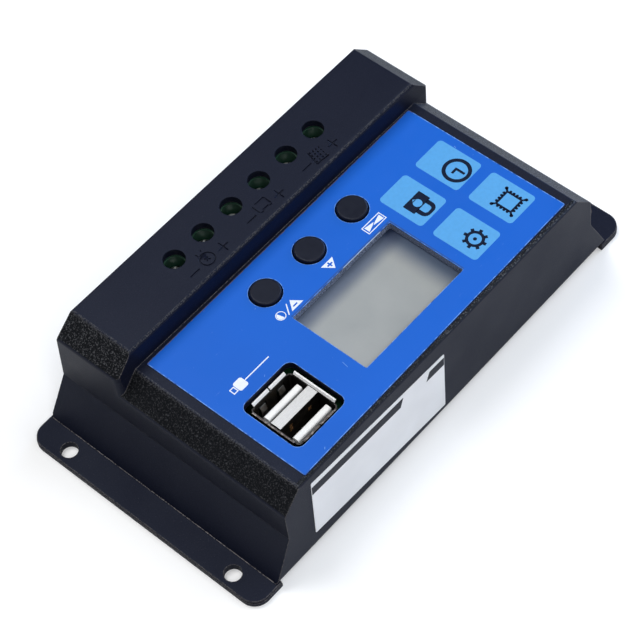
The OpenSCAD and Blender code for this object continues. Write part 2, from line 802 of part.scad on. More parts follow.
// Everything cut out of a module for one pole, with the pole's screw axis at x = 0
module terminal_hollow() {
    shaft = [cage_size[0], cage_size[1]] + shaft_gap;
    // shaft that the cage rises in, open towards the board
    box([-shaft[0] / 2, term_y - shaft[1] / 2, board_top - 1],
        [shaft[0] / 2, term_y + shaft[1] / 2, web_z]);
    // wire entry with a stepped lead-in
    along_y(block_front_y - 1, term_y) translate([0, entry_z]) round_rect(entry_size, entry_r);
    along_y(block_front_y - 1, block_front_y + lead_in_depth) translate([0, entry_z])
        round_rect(entry_size + [lead_in, lead_in], lead_in_r);
    // seat of the current bar and its leg
    seat = [busbar_w / 2 + seat_gap, busbar_z + busbar_t + seat_gap];
    box([-seat[0], term_y - shaft[1] / 2 - seat_depth, busbar_z], [seat[0], term_y, seat[1]]);
    box([-seat[0], term_y, board_top - 1], [seat[0], busbar_leg_y + busbar_t + seat_gap, seat[1]]);
    // web bore and the well above it
    post(0, term_y, term_screw_d / 2 + web_gap, web_z - 1, web_z + web_t + 1);
    post(0, term_y, well_r, web_z + web_t, block_top + 1);
}

module terminal_pins() color([0.8, 0.78, 0.7])
    for (i = [1:6])
        translate([term_x(i), 0, 0]) {
            along_x(-busbar_w / 2, busbar_w / 2) polygon([
                [busbar_end_y, busbar_z], [busbar_leg_y, busbar_z],
                [busbar_leg_y, busbar_foot_z], [busbar_leg_y + busbar_t, busbar_foot_z],
                [busbar_leg_y + busbar_t, busbar_z + busbar_t], [busbar_end_y, busbar_z + busbar_t]
            ]);
            for (s = [-1, 1])
                translate([s * busbar_pin_x, busbar_leg_y + busbar_t / 2, 0])
                    box([-busbar_pin_half, -busbar_pin_half, busbar_pin_z],
                        [busbar_pin_half, busbar_pin_half, busbar_foot_z + cut]);
        }

head_bevel = 0.5;
screw_slot = [1.7, 0.4]; // half length and half width
screw_slot_depth = 1;
nut_gap = 0.06;
screw_tip_z = busbar_z + busbar_t + 0.1;

// Captive screw: its tip bears on the current bar while the cage climbs its thread
module terminal_screw(i) color(screw_steel) translate([term_x(i), term_y, web_z + web_t]) {
    difference() {
        rotate_extrude() polygon([
            [0, 0], [head_r, 0], [head_r, head_h - head_bevel], [head_r - head_bevel, head_h], [0, head_h]
        ]);
        for (a = [0, 90])
            rotate(a) box([-screw_slot[0], -screw_slot[1], head_h - screw_slot_depth],
                          [screw_slot[0], screw_slot[1], head_h + 1]);
    }
    translate([0, 0, screw_tip_z - web_z - web_t])
        cylinder(r = term_screw_d / 2, h = web_z + web_t - screw_tip_z);
}

// Rising cage: a square loop whose thick top holds the screw's thread
module clamp_cage(i) color([0.75, 0.75, 0.72]) translate([term_x(i), term_y, cage_z]) difference() {
    translate([-cage_size[0] / 2, -cage_size[1] / 2, 0]) cube(cage_size);
    along_y(-cage_size[1], cage_size[1])
        translate([-cage_size[0] / 2 + cage_wall, cage_floor])
            square([cage_size[0] - 2 * cage_wall, cage_size[2] - cage_floor - cage_nut]);
    cylinder(r = term_screw_d / 2 + nut_gap, h = cage_size[2] + 1);
}

// ---------- USB socket ----------

usb_tab_x = [-3, 3];
usb_spring_x = [-3, 3];
usb_spring_w = 1.8;
usb_spring_z = [16.5, 24];
usb_spring_bow = 0.6;
usb_spring_bend = 1.5; // of the bow below the tip
usb_spring_tip = [-0.2, 0.1];
usb_slot_gap = [0.35, 0.6]; // beside and above a spring tongue
usb_lip_split = 0.4;
usb_lip_half = [5.3, 6]; // along the long and the short sides
usb_tab_half_w = 0.9;
usb_tab_z = board_z - 1.2;
usb_can_r = 1;

// Outline of the stamped can
module usb_can(inset_by) round_rect(usb_size - 2 * [inset_by, inset_by], usb_can_r - inset_by);

// Flared lip from x0 to x1, drawn for the -Y side of a can of the given width
module usb_lip(width, x0, x1) along_x(x0, x1)
    polygon([
        [-width / 2, usb_top - usb_lip_h], [-width / 2 + usb_sheet, usb_top - usb_lip_h],
        [-width / 2 + usb_sheet - usb_lip_out, usb_top], [-width / 2 - usb_lip_out, usb_top]
    ]);

// Spring tongue cut from the can's wall and bent inwards, drawn for the -Y side
module usb_spring(width) along_x(-usb_spring_w / 2, usb_spring_w / 2) translate([-width / 2, 0])
    polygon([
        [0, usb_spring_z[0]], [usb_sheet, usb_spring_z[0]],
        [usb_sheet + usb_spring_bow, usb_spring_z[1] - usb_spring_bend],
        [usb_sheet + usb_spring_tip[1], usb_spring_z[1]],
        [usb_spring_tip[0], usb_spring_z[1]], [usb_spring_bow, usb_spring_z[1] - usb_spring_bend - 0.1]
    ]);

module usb_shell() color([0.85, 0.85, 0.87]) translate([usb_c[0], usb_c[1], 0]) {
    difference() {
        upright(board_top, usb_top - usb_lip_h) difference() {
            usb_can(0);
            usb_can(usb_sheet);
        }
        for (side = [0, 180], x = usb_spring_x)
            rotate(side) translate([x, -usb_size[1] / 2, 0])
                box([-usb_spring_w / 2 - usb_slot_gap[0], -1, usb_spring_z[0]],
                    [usb_spring_w / 2 + usb_slot_gap[0], 1, usb_spring_z[1] + usb_slot_gap[1]]);
    }
    for (side = [0, 180]) rotate(side) {
        usb_lip(usb_size[1], -usb_lip_half[0], -usb_lip_split / 2);
        usb_lip(usb_size[1], usb_lip_split / 2, usb_lip_half[0]);
        for (x = usb_spring_x) translate([x, 0, 0]) usb_spring(usb_size[1]);
        for (x = usb_tab_x)
            translate([x, -usb_size[1] / 2, 0])
                box([-usb_tab_half_w, 0, usb_tab_z], [usb_tab_half_w, usb_sheet, board_top + cut]);
    }
    for (side = [90, 270])
        rotate(side) usb_lip(usb_size[0], -usb_lip_half[1], usb_lip_half[1]);
}

can_fit = 0.05; // between the can and what it holds
divider_t = 0.3;
divider_h = 11.4;

// Folded strip that parts the two ports
module usb_divider() color([0.85, 0.85, 0.86]) {
    half_l = usb_size[0] / 2 - usb_sheet - can_fit;
    divider_w = divider_y[1] - divider_y[0];
    along_x(usb_c[0] - half_l, usb_c[0] + half_l) translate([divider_y[0], usb_base_top])
        difference() {
            square([divider_w, divider_h]);
            translate([divider_t, -1]) square([divider_w - 2 * divider_t, divider_h - divider_t + 1]);
        }
}

tongue_r = 0.5;

module usb_insulator() color("white") {
    upright(board_top + 0.1, usb_base_top) difference() {
        translate(usb_c) usb_can(usb_sheet + can_fit);
        for (y = tongue_y, k = [-1.5:1.5])
            translate([usb_c[0] + k * contact_pitch, y - tongue_size[1] / 2 - contact_hole_out])
                circle(contact_hole_r);
    }
    for (y = tongue_y)
        along_x(usb_c[0] - tongue_size[0] / 2, usb_c[0] + tongue_size[0] / 2)
            polygon(rounded(
                [[y - tongue_size[1] / 2, usb_base_top - cut], [y + tongue_size[1] / 2, usb_base_top - cut],
                 [y + tongue_size[1] / 2, tongue_top], [y - tongue_size[1] / 2, tongue_top]],
                [0, 0, tongue_r, tongue_r]));
}

leaf_half_w = 0.5;
leaf_t = 0.3;
leaf_bow = 0.3;
leaf_z = [20.5, 22.6, 24.2]; // where the bow starts, stands out most and ends

// Contact leaves on the back of each tongue, bowed away from it near the mouth
module usb_contacts() color([0.85, 0.68, 0.3])
    for (y = tongue_y, k = [-1.5:1.5])
        translate([usb_c[0] + k * contact_pitch, y - tongue_size[1] / 2, 0]) {
            along_x(-leaf_half_w, leaf_half_w) polygon([
                [0, board_top], [0, leaf_z[0]], [-leaf_bow, leaf_z[1]], [0, leaf_z[2]],
                [-leaf_t, leaf_z[2]], [-leaf_t - leaf_bow, leaf_z[1]], [-leaf_t, leaf_z[0]],
                [-leaf_t, board_top]
            ]);
            box([-leaf_t, -leaf_t, board_z - 1], [leaf_t, 0, board_top + cut]);
        }

// ---------- Nodes ----------

upper_case();
base_plate();
case_screws();
face_label();
rating_sticker();
lcd_polariser();
lcd_glass();
lcd_backlight();
lcd_frame();
lcd_pins();
display_board();
display_screws();
board_header();
tact_switches();
keycap(1);  // button_menu
keycap(2);  // button_up
keycap(3);  // button_down
plunger(1);  // plunger_menu
plunger(2);  // plunger_up
plunger(3);  // plunger_down
main_board();
board_screws();
power_transistors();
heat_sink();
heat_sink_screws();
capacitors();
usb_inductor();
current_shunts();
microcontroller();
terminal_block(-1);  // terminal_block_solar
terminal_block(0);  // terminal_block_battery
terminal_block(1);  // terminal_block_load
terminal_pins();
terminal_screw(1);  // terminal_screw_1
terminal_screw(2);  // terminal_screw_2
terminal_screw(3);  // terminal_screw_3
terminal_screw(4);  // terminal_screw_4
terminal_screw(5);  // terminal_screw_5
terminal_screw(6);  // terminal_screw_6
clamp_cage(1);  // clamp_cage_1
clamp_cage(2);  // clamp_cage_2
clamp_cage(3);  // clamp_cage_3
clamp_cage(4);  // clamp_cage_4
clamp_cage(5);  // clamp_cage_5
clamp_cage(6);  // clamp_cage_6
usb_shell();
usb_divider();
usb_insulator();
usb_contacts();
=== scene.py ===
import math

import bmesh
import bpy
from mathutils import Matrix, Vector


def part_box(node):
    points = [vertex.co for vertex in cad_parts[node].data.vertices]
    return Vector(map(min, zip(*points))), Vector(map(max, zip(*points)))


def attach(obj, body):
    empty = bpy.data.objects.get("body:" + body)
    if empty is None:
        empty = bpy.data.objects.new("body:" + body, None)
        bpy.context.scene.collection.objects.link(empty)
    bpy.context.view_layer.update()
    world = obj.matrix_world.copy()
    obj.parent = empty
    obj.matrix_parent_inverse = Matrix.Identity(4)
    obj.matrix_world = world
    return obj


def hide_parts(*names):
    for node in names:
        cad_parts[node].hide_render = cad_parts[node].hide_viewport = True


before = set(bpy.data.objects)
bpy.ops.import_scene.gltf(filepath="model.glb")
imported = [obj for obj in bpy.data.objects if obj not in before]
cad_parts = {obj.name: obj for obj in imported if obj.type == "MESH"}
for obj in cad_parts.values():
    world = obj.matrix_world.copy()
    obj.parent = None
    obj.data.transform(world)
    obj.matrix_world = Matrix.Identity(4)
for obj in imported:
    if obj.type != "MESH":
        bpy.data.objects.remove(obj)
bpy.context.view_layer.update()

MM = 0.001
FIXED = "controller"  # the body of everything that doesn't move

# ---------- Places taken from the frame, in millimetres ----------


def node_top(node):
    """Height of a CAD node's top, in millimetres."""
    low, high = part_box(node)
    return (high / MM).z


LABEL_TOP = node_top("face_label")
RIDGE_TOP = node_top("upper_case")
INK = 0.012  # thickness of one printed layer


# ---------- Finishes ----------


class Finish:
    """A procedural material, built up on the piece's own coordinates."""

    def __init__(self, name, roughness=0.5, **sockets):
        self.material = bpy.data.materials.new(name)
        self.material.use_nodes = True
        self.tree = self.material.node_tree
        self.shader = self.tree.nodes["Principled BSDF"]
        self.place = self.add("ShaderNodeTexCoord").outputs["Object"]
        self.shader.inputs["Roughness"].default_value = roughness
        for socket, value in sockets.items():
            self.shader.inputs[socket.replace("_", " ").title().replace("Ior", "IOR")].default_value = value

    def add(self, kind, **settings):
        node = self.tree.nodes.new(kind)
        for key, value in settings.items():
            setattr(node, key, value)
        return node

    def put(self, value, socket):
        """Links an output, or sets a plain number or colour."""
        if isinstance(value, bpy.types.NodeSocket):
            self.tree.links.new(value, socket)
        elif isinstance(value, tuple) and len(value) == 3 and len(socket.default_value) == 4:
            socket.default_value = (*value, 1)
        else:
            socket.default_value = value

    def stretched(self, stretch):
        node = self.add("ShaderNodeMapping")
        self.put(self.place, node.inputs["Vector"])
        self.put(stretch, node.inputs["Scale"])
        return node.outputs["Vector"]

    def noise(self, size, detail=2.0, rough=0.5, stretch=None):
        """Cloudy noise whose blotches are about size millimetres across."""
        node = self.add("ShaderNodeTexNoise")
        self.put(self.stretched(stretch) if stretch else self.place, node.inputs["Vector"])
        self.put(1 / (size * MM), node.inputs["Scale"])
        self.put(detail, node.inputs["Detail"])
        self.put(rough, node.inputs["Roughness"])
        return node.outputs["Fac"]

    def cells(self, size, feature="F1"):
        """Distance to the nearest of points that lie about size millimetres apart."""
        node = self.add("ShaderNodeTexVoronoi", feature=feature)
        self.put(self.place, node.inputs["Vector"])
        self.put(1 / (size * MM), node.inputs["Scale"])
        return node.outputs["Distance"]

    def map(self, value, low, high, to_low=0.0, to_high=1.0, curve="LINEAR"):
        """value moved from low..high to to_low..to_high, and clamped there."""
        node = self.add("ShaderNodeMapRange", clamp=True, interpolation_type=curve)
        for socket, item in zip(node.inputs, (value, low, high, to_low, to_high)):
            self.put(item, socket)
        return node.outputs["Result"]

    def math(self, operation, *values):
        node = self.add("ShaderNodeMath", operation=operation)
        for socket, item in zip(node.inputs, values):
            self.put(item, socket)
        return node.outputs[0]

    def mix(self, share, a, b):
        """Colour a, turning into b as share goes from 0 to 1."""
        node = self.add("ShaderNodeMix", data_type="RGBA")
        self.put(share, node.inputs["Factor"])
        self.put(a, node.inputs[6])
        self.put(b, node.inputs[7])
        return node.outputs[2]

    def tint(self, a, b):
        """Two colours multiplied."""
        node = self.add("ShaderNodeMix", data_type="RGBA", blend_type="MULTIPLY")
        self.put(1.0, node.inputs["Factor"])
        self.put(a, node.inputs[6])
        self.put(b, node.inputs[7])
        return node.outputs[2]

    def axis(self, vector, name):
        node = self.add("ShaderNodeSeparateXYZ")
        self.put(vector, node.inputs[0])
        return node.outputs[name]

    def within(self, low, high):
        """1 inside the box between two corners given in millimetres, 0 outside."""
        share = 1.0
        for name, start, end in zip("XYZ", low, high):
            here = self.axis(self.place, name)
            entered = self.map(here, (start - 0.01) * MM, start * MM)
            left = self.map(here, end * MM, (end + 0.01) * MM, 1, 0)
            share = self.math("MULTIPLY", share, self.math("MULTIPLY", entered, left))
        return share

    def soft_edges(self, radius):
        """The normal with edges rounded over radius millimetres."""
        node = self.add("ShaderNodeBevel", samples=6)
        self.put(radius * MM, node.inputs["Radius"])
        return node.outputs["Normal"]

    def edge_mask(self, radius, low, high):
        """1 along sharp edges, 0 on flat faces."""
        facing = self.add("ShaderNodeVectorMath", operation="DOT_PRODUCT")
        self.put(self.soft_edges(radius), facing.inputs[0])
        self.put(self.add("ShaderNodeNewGeometry").outputs["Normal"], facing.inputs[1])
        return self.map(facing.outputs["Value"], high, low)

    def bump(self, height, depth, normal=None):
        """Relief of depth millimetres, on top of the given normal."""
        node = self.add("ShaderNodeBump")
        self.put(depth * MM, node.inputs["Distance"])
        self.put(height, node.inputs["Height"])
        if normal is not None:
            self.put(normal, node.inputs["Normal"])
        return node.outputs["Normal"]

    def colour(self, value):
        self.put(value, self.shader.inputs["Base Color"])

    def roughness(self, value):
        self.put(value, self.shader.inputs["Roughness"])

    def normal(self, value):
        self.put(value, self.shader.inputs["Normal"])


def case_plastic():
    """Charcoal plastic from a spark-eroded mould: fine grain, coarse on the chamfers, rubbed edges; painted
    light and shade on the -X chamfers, a painted reflection on the display recess walls and a painted
    highlight along the foot.
    """
    finish = Finish("case_charcoal", specular_ior_level=0.25, specular_tint=(0.74, 0.83, 1.0, 1))
    facing = finish.add("ShaderNodeNewGeometry").outputs["Normal"]
    height = finish.axis(finish.place, "Z")
    sideways = finish.math("ABSOLUTE", finish.axis(facing, "X"))
    level = finish.map(finish.axis(facing, "Z"), 0.8, 0.9)
    chamfer = finish.math(
        "MULTIPLY", finish.map(sideways, 0.55, 0.66), finish.map(finish.axis(facing, "Z"), 0.55, 0.66)
    )
    border = finish.math("MULTIPLY", finish.within((-48.5, 32.7, 27), (48.5, 35, 29)), level)
    coarse_here = finish.math("MAXIMUM", chamfer, border)
    fine = finish.noise(0.22, detail=3, rough=0.6)
    coarse = finish.noise(0.37, detail=3, rough=0.7)
    base = finish.mix(finish.map(fine, 0.3, 0.8), (0.0025, 0.0035, 0.0105), (0.008, 0.0095, 0.023))
    glitter = finish.map(finish.noise(0.3, detail=3, rough=0.7), 0.62, 0.7, 0, 0.4)
    base = finish.mix(glitter, base, (0.05, 0.05, 0.06))
    base = finish.mix(coarse_here, base, (0.0015, 0.0015, 0.002))
    sparks = finish.math("MULTIPLY", finish.map(coarse, 0.54, 0.62), coarse_here)
    # the ridge's chamfer is the coarse one at the +X end; the sparks are painted stronger on the deck's -X
    # chamfer as a painted highlight, and weaker on the ridge's -X chamfer as painted shade
    along = finish.axis(finish.place, "X")
    deck_sparks_and_painted_light, ridge_sparks_and_painted_light = (
        finish.map(along, -1 * MM, 1 * MM, *shares) for shares in ((1.0, 0.45), (0.3, 0.95))
    )
    up = finish.map(height, 28.2 * MM, 28.6 * MM)
    share = finish.math(
        "ADD",
        finish.math("MULTIPLY", up, ridge_sparks_and_painted_light),
        finish.math("MULTIPLY", finish.math("SUBTRACT", 1.0, up), deck_sparks_and_painted_light),
    )
    base = finish.mix(finish.math("MULTIPLY", sparks, share), base, (0.095, 0.097, 0.105))
    # grain painted lighter in dots along the upper edges: the ridge's inner edge, and both +X chamfers
    dots = finish.map(finish.noise(0.36, detail=2), 0.44, 0.6)
    for low, high in (
        ((-54, -15.05, 34.05), (54, -14, 34.42)),
        ((47.85, -33, 33.8), (48.7, -15.3, 34.6)),
        ((47.9, -14, 27.3), (48.8, 36, 28.1)),
    ):
        rim = finish.math("MULTIPLY", finish.within(low, high), dots)
        base = finish.mix(rim, base, (0.045, 0.045, 0.05))
    # walls of the display recess, rough and greyish, painted pale blue as a painted reflection of the label
    recess_painted_reflection = finish.within((-17.7, 3.9, 25), (16.6, 25.8, 28))
    speckle = finish.map(finish.noise(0.28, detail=3, rough=0.75), 0.45, 0.62)
    base = finish.mix(recess_painted_reflection, base, finish.mix(speckle, (0.08, 0.1, 0.15), (0.36, 0.41, 0.57)))
    patchy = finish.map(finish.noise(0.3, detail=3, rough=0.7), 0.42, 0.56)
    rubbed = finish.math("MULTIPLY", finish.edge_mask(0.35, 0.88, 0.98), patchy)
    # the signs and the screw holes in the ridge are sheltered from rubbing
    sheltered = finish.within((-47.3, -31, 33.9), (47.3, -15.6, 35))
    rubbed = finish.math("MULTIPLY", rubbed, finish.math("SUBTRACT", 1.0, sheltered))
    base = finish.mix(finish.math("MULTIPLY", rubbed, 0.7), base, (0.24, 0.22, 0.21))
    # a painted highlight along the foot, where the case meets the base plate
    painted_foot_highlight = finish.math("MULTIPLY", finish.within((-70, -40, 2.03), (70, 40, 2.22)), patchy)
    base = finish.mix(painted_foot_highlight, base, (0.5, 0.47, 0.45))
    finish.colour(base)
    # the ridge's slope is smoother moulded and mirrors less
    slope = finish.math(
        "MULTIPLY", finish.map(finish.axis(facing, "Y"), 0.15, 0.5), finish.map(height, 28.05 * MM, 28.1 * MM)
    )
    foot_shine = finish.map(height, 2.05 * MM, 2.15 * MM, 0.16, 0.22)
    shine = finish.math("MINIMUM", finish.map(slope, 0, 1, 0.22, 0.16), foot_shine)
    finish.put(shine, finish.shader.inputs["Specular IOR Level"])
    finish.roughness(finish.map(finish.noise(18, detail=3), 0.3, 0.7, 0.45, 0.55))
    relief = finish.math("ADD", fine, finish.math("MULTIPLY", coarse, finish.map(coarse_here, 0, 1, 0.4, 4)))
    finish.normal(finish.bump(relief, 0.03, finish.soft_edges(0.22)))
    return finish.material


def smooth_plastic(name, colour, roughness=0.45, grain=0.2, depth=0.006, variation=0.12, **sockets):
    """Moulded plastic with a faint grain and slight clouding."""
    finish = Finish(name, **sockets)
    cloud = finish.map(finish.noise(4, detail=3), 0.3, 0.7)
    finish.colour(finish.mix(cloud, tuple(c * (1 - variation) for c in colour), colour))
    finish.roughness(finish.map(finish.noise(1.5, detail=3), 0.3, 0.7, roughness - 0.06, roughness + 0.06))
    finish.normal(finish.bump(finish.noise(grain, detail=2), depth, finish.soft_edges(0.12)))
    return finish.material


def plated_metal(
    name, colour, roughness, stretch=(1, 1, 6), depth=0.003, wear=(0.35, 0.33, 0.3), dull=(0.62, 0.5)
):
    """Plated sheet or turned metal with drawing lines and dull spots; dull: where they start, how strong."""
    finish = Finish(name, metallic=1.0)
    lines = finish.noise(0.9, detail=4, rough=0.65, stretch=stretch)
    spots = finish.map(finish.noise(0.6, detail=3), dull[0], dull[0] + 0.1)
    finish.colour(finish.mix(finish.math("MULTIPLY", spots, dull[1]), colour, wear))
    finish.roughness(finish.map(lines, 0.3, 0.7, roughness * 0.8, roughness * 1.3))
    finish.normal(finish.bump(lines, depth, finish.soft_edges(0.08)))
    return finish.material


def circuit_laminate():
    """Solder mask over copper tracks on glass laminate."""
    finish = Finish("circuit_laminate", coat_weight=0.3, coat_roughness=0.25)
    tracks = finish.map(finish.cells(3.2, feature="DISTANCE_TO_EDGE"), 0.05, 0.09)
    weave = finish.noise(0.5, detail=2, stretch=(1, 5, 1))
    mask = finish.mix(tracks, (0.012, 0.09, 0.035), (0.005, 0.045, 0.018))
    finish.colour(finish.mix(finish.map(weave, 0.4, 0.8, 0, 0.3), mask, (0.012, 0.06, 0.028)))
    finish.roughness(0.35)
    finish.normal(finish.bump(tracks, 0.03))
    return finish.material


def label_film():
    """Printed polyester film: even royal blue, with a few specks of dust and hairline scratches."""
    finish = Finish("label_film", specular_ior_level=0.2)
    blue = (0.005, 0.11, 0.545)
    cloud = finish.map(finish.noise(25, detail=2), 0.35, 0.65)
    base = finish.mix(cloud, tuple(c * 0.95 for c in blue), blue)
    specks = finish.map(finish.noise(1.1, detail=4, rough=0.7), 0.735, 0.78)
    scratches = finish.map(finish.noise(2.4, detail=3, rough=0.75, stretch=(1, 6, 1)), 0.71, 0.76)
    marks = finish.math("MAXIMUM", specks, finish.math("MULTIPLY", scratches, 0.5))
    finish.colour(finish.mix(finish.math("MULTIPLY", marks, 0.35), base, (0.45, 0.6, 0.9)))
    finish.roughness(finish.map(finish.noise(3, detail=3), 0.3, 0.7, 0.42, 0.52))
    finish.normal(finish.bump(finish.noise(0.35, detail=2), 0.004))
    return finish.material


def ink(name, colour, roughness=0.45, shine=0.35):
    """Screen-printed ink that lies on the film, a little uneven."""
    finish = Finish(name, specular_ior_level=shine)
    uneven = finish.map(finish.noise(0.8, detail=3), 0.3, 0.7)
    finish.colour(finish.mix(uneven, tuple(c * 0.93 for c in colour), colour))
    finish.roughness(finish.map(finish.noise(1.2, detail=2), 0.3, 0.7, roughness - 0.05, roughness + 0.05))
    finish.normal(finish.bump(finish.noise(0.3, detail=2), 0.003))
    return finish.material


def film_edge():
    """Edge of the cut film: the pale sheet shows where the print has flaked, and partly stands as a painted
    highlight along the cut; along the ridge it is painted dark and brownish as painted shade.
    """
    finish = Finish("film_edge", specular_ior_level=0.4)
    flaked = finish.map(finish.noise(1.2, detail=4, rough=0.65), 0.38, 0.58)
    # painted shade: along the ridge the edge is painted dark and brownish
    clear_of_painted_shade = finish.map(finish.axis(finish.place, "Y"), -12.6 * MM, -12.2 * MM)
    pale = finish.mix(clear_of_painted_shade, (0.12, 0.08, 0.07), (0.15, 0.34, 0.78))
    finish.colour(finish.mix(flaked, (0.01, 0.08, 0.32), pale))
    finish.roughness(finish.map(flaked, 0, 1, 0.35, 0.5))
    finish.normal(finish.bump(finish.noise(0.2, detail=2), 0.01))
    return finish.material


def display_film():
    """Grey polariser of an unlit display, with faint smears and dust."""
    finish = Finish("display_film", specular_ior_level=0.45)
    smear = finish.map(finish.noise(9, detail=4, rough=0.6), 0.3, 0.7)
    fine = finish.map(finish.noise(0.25, detail=2), 0.35, 0.7)
    grey = finish.mix(smear, (0.29, 0.305, 0.303), (0.317, 0.328, 0.323))
    grey = finish.mix(finish.math("MULTIPLY", fine, 0.12), grey, (0.3, 0.32, 0.33))
    # the reflector lies deep under the film, so the recess walls shade it far in
    shade_y = finish.map(finish.axis(finish.place, "Y"), 5.6 * MM, 9.8 * MM, curve="SMOOTHSTEP")
    shade_x = finish.map(finish.axis(finish.place, "X"), -16.8 * MM, -10.2 * MM, curve="SMOOTHSTEP")
    grey = finish.tint(grey, finish.mix(shade_y, (0.3, 0.36, 0.51), (1.0, 1.0, 1.0)))
    grey = finish.tint(grey, finish.mix(shade_x, (0.18, 0.25, 0.41), (1.0, 1.0, 1.0)))
    dust = finish.map(finish.noise(0.9, detail=4, rough=0.7), 0.74, 0.78)
    finish.colour(finish.mix(finish.math("MULTIPLY", dust, 0.5), grey, (0.6, 0.6, 0.6)))
    finish.roughness(finish.map(smear, 0, 1, 0.34, 0.46))
    finish.normal(finish.bump(fine, 0.003))
    return finish.material


def sticker_film():
    """White label stock, clouded faintly grey."""
    finish = Finish("sticker_film", specular_ior_level=0.4)
    cloud = finish.map(finish.noise(12, detail=3), 0.3, 0.7)
    finish.colour(finish.mix(cloud, (0.78, 0.785, 0.81), (0.85, 0.855, 0.88)))
    finish.roughness(finish.map(finish.noise(1.5), 0.3, 0.7, 0.4, 0.5))
    finish.normal(finish.bump(finish.noise(0.5, detail=2), 0.004))
    return finish.material


def clear_glass():
    finish = Finish("display_glass", transmission_weight=0.9, ior=1.5)
    finish.colour(finish.mix(finish.map(finish.noise(8), 0.3, 0.7), (0.75, 0.8, 0.79), (0.8, 0.85, 0.84)))
    finish.roughness(finish.map(finish.noise(2, detail=3), 0.3, 0.7, 0.03, 0.08))
    return finish.material


def usb_plating():
    """Tin-plated sheet: matt on the flared lips, the far ones painted white as a painted highlight and the
    near ones painted dark as painted shade; dark down in the socket, painted darker towards its bottom as
    painted shade.
    """
    finish = Finish("usb_plating", metallic=1.0)
    height = finish.axis(finish.place, "Z")
    lip = finish.map(height, 26.08 * MM, 26.16 * MM)
    # painted shade: the socket's inside is painted darker towards its bottom
    depth = finish.map(height, 17 * MM, 25.8 * MM)
    lines = finish.noise(0.7, detail=4, rough=0.65, stretch=(1, 1, 7))
    inside = finish.mix(depth, (0.02, 0.018, 0.016), (0.06, 0.058, 0.056))
    # tips of the spring tongues; the near lips are painted dark as painted shade, with lighter spots as
    # painted glints
    for spring in (30.05, 36.05):
        tip = finish.within((spring - 0.95, 12, 22.2), (spring + 0.95, 13.2, 24.2))
        inside = finish.mix(tip, inside, (0.3, 0.3, 0.3))
    near_lips_painted_shade = finish.math(
        "MAXIMUM",
        finish.map(finish.axis(finish.place, "X"), 39 * MM, 39.2 * MM),
        finish.map(finish.axis(finish.place, "Y"), 25.5 * MM, 25.7 * MM),
    )
    spots = finish.map(finish.noise(0.5, detail=3), 0.5, 0.62)
    painted_shade_with_glints = finish.mix(spots, (0.07, 0.055, 0.05), (0.32, 0.29, 0.27))
    # painted highlight: the far lips are painted white
    lip_painted_light = finish.mix(near_lips_painted_shade, (1.0, 1.0, 1.0), painted_shade_with_glints)
    finish.colour(finish.mix(lip, inside, lip_painted_light))
    finish.put(finish.map(lip, 0, 1, 1.0, 0.2), finish.shader.inputs["Metallic"])
    finish.roughness(finish.map(lines, 0.3, 0.7, 0.3, 0.45))
    finish.normal(finish.bump(lines, 0.003, finish.soft_edges(0.08)))
    return finish.material


def usb_strip():
    """Nickel strip between the ports: brushed on top; its sides painted dark as painted shade, with two
    copper patches painted bright as painted glints.
    """
    finish = Finish("usb_strip", metallic=1.0)
    lines = finish.noise(0.9, detail=4, rough=0.65, stretch=(1, 8, 8))
    top = finish.map(finish.axis(finish.place, "Z"), 26.3 * MM, 26.36 * MM)
    # painted shade: below the top the strip is painted near-black, a little uneven
    uneven = finish.map(finish.noise(1.5, detail=3), 0.4, 0.7)
    side = finish.mix(uneven, (0.012, 0.01, 0.009), (0.04, 0.036, 0.033))
    # painted glints: two small bright copper patches on the side facing +Y
    glint_breakup = finish.map(finish.noise(0.5, detail=2), 0.42, 0.6)
    for low_x, low_z, high_x, high_z in ((29.3, 22.8, 30.4, 24.1), (35.5, 22.0, 36.4, 24.4)):
        copper_glint_patch = finish.within((low_x, 20.3, low_z), (high_x, 20.6, high_z))
        side = finish.mix(finish.math("MULTIPLY", copper_glint_patch, glint_breakup), side, (0.75, 0.42, 0.18))
    brushed = finish.mix(finish.map(lines, 0.35, 0.65), (0.5, 0.5, 0.5), (0.66, 0.66, 0.66))
    finish.colour(finish.mix(top, side, brushed))
    finish.roughness(finish.map(lines, 0.3, 0.7, 0.4, 0.65))
    finish.normal(finish.bump(lines, 0.003, finish.soft_edges(0.08)))
    return finish.material


charcoal = case_plastic()
# near-black for the sunk signs' cutter, a painted shade for the shade down in the grooves
sign_groove_painted_shade = smooth_plastic(
    "sign_groove_painted_shade", (0.0012, 0.0012, 0.0014), roughness=0.8, specular_ior_level=0.1
)
button_black = smooth_plastic(
    "button_charcoal",
    (0.006, 0.0068, 0.0145),
    roughness=0.42,
    specular_ior_level=0.23,
    specular_tint=(0.74, 0.83, 1.0, 1),
)
black_nylon = smooth_plastic("black_nylon", (0.02, 0.02, 0.022))
terminal_green = smooth_plastic("terminal_green", (0.009, 0.047, 0.027), roughness=0.42)
white_nylon = smooth_plastic("white_nylon", (0.86, 0.86, 0.85), roughness=0.4, variation=0.05)
guide_acrylic = smooth_plastic("guide_acrylic", (0.8, 0.82, 0.8), roughness=0.25, variation=0.04)
epoxy = smooth_plastic("moulding_epoxy", (0.018, 0.018, 0.019), roughness=0.6)
ferrite = smooth_plastic("sintered_ferrite", (0.05, 0.05, 0.055), roughness=0.7, depth=0.02)
sleeve = smooth_plastic("capacitor_sleeve", (0.02, 0.03, 0.1), roughness=0.3)
zinc = plated_metal("zinc_plate", (0.85, 0.85, 0.86), 0.4, stretch=(1, 1, 1))
greased_zinc = plated_metal(
    "greased_zinc", (0.9, 0.9, 0.9), 0.35, (1, 1, 1), wear=(0.02, 0.03, 0.025), dull=(0.46, 0.97)
)
tin = plated_metal("tin_plate", (0.78, 0.77, 0.73), 0.35)
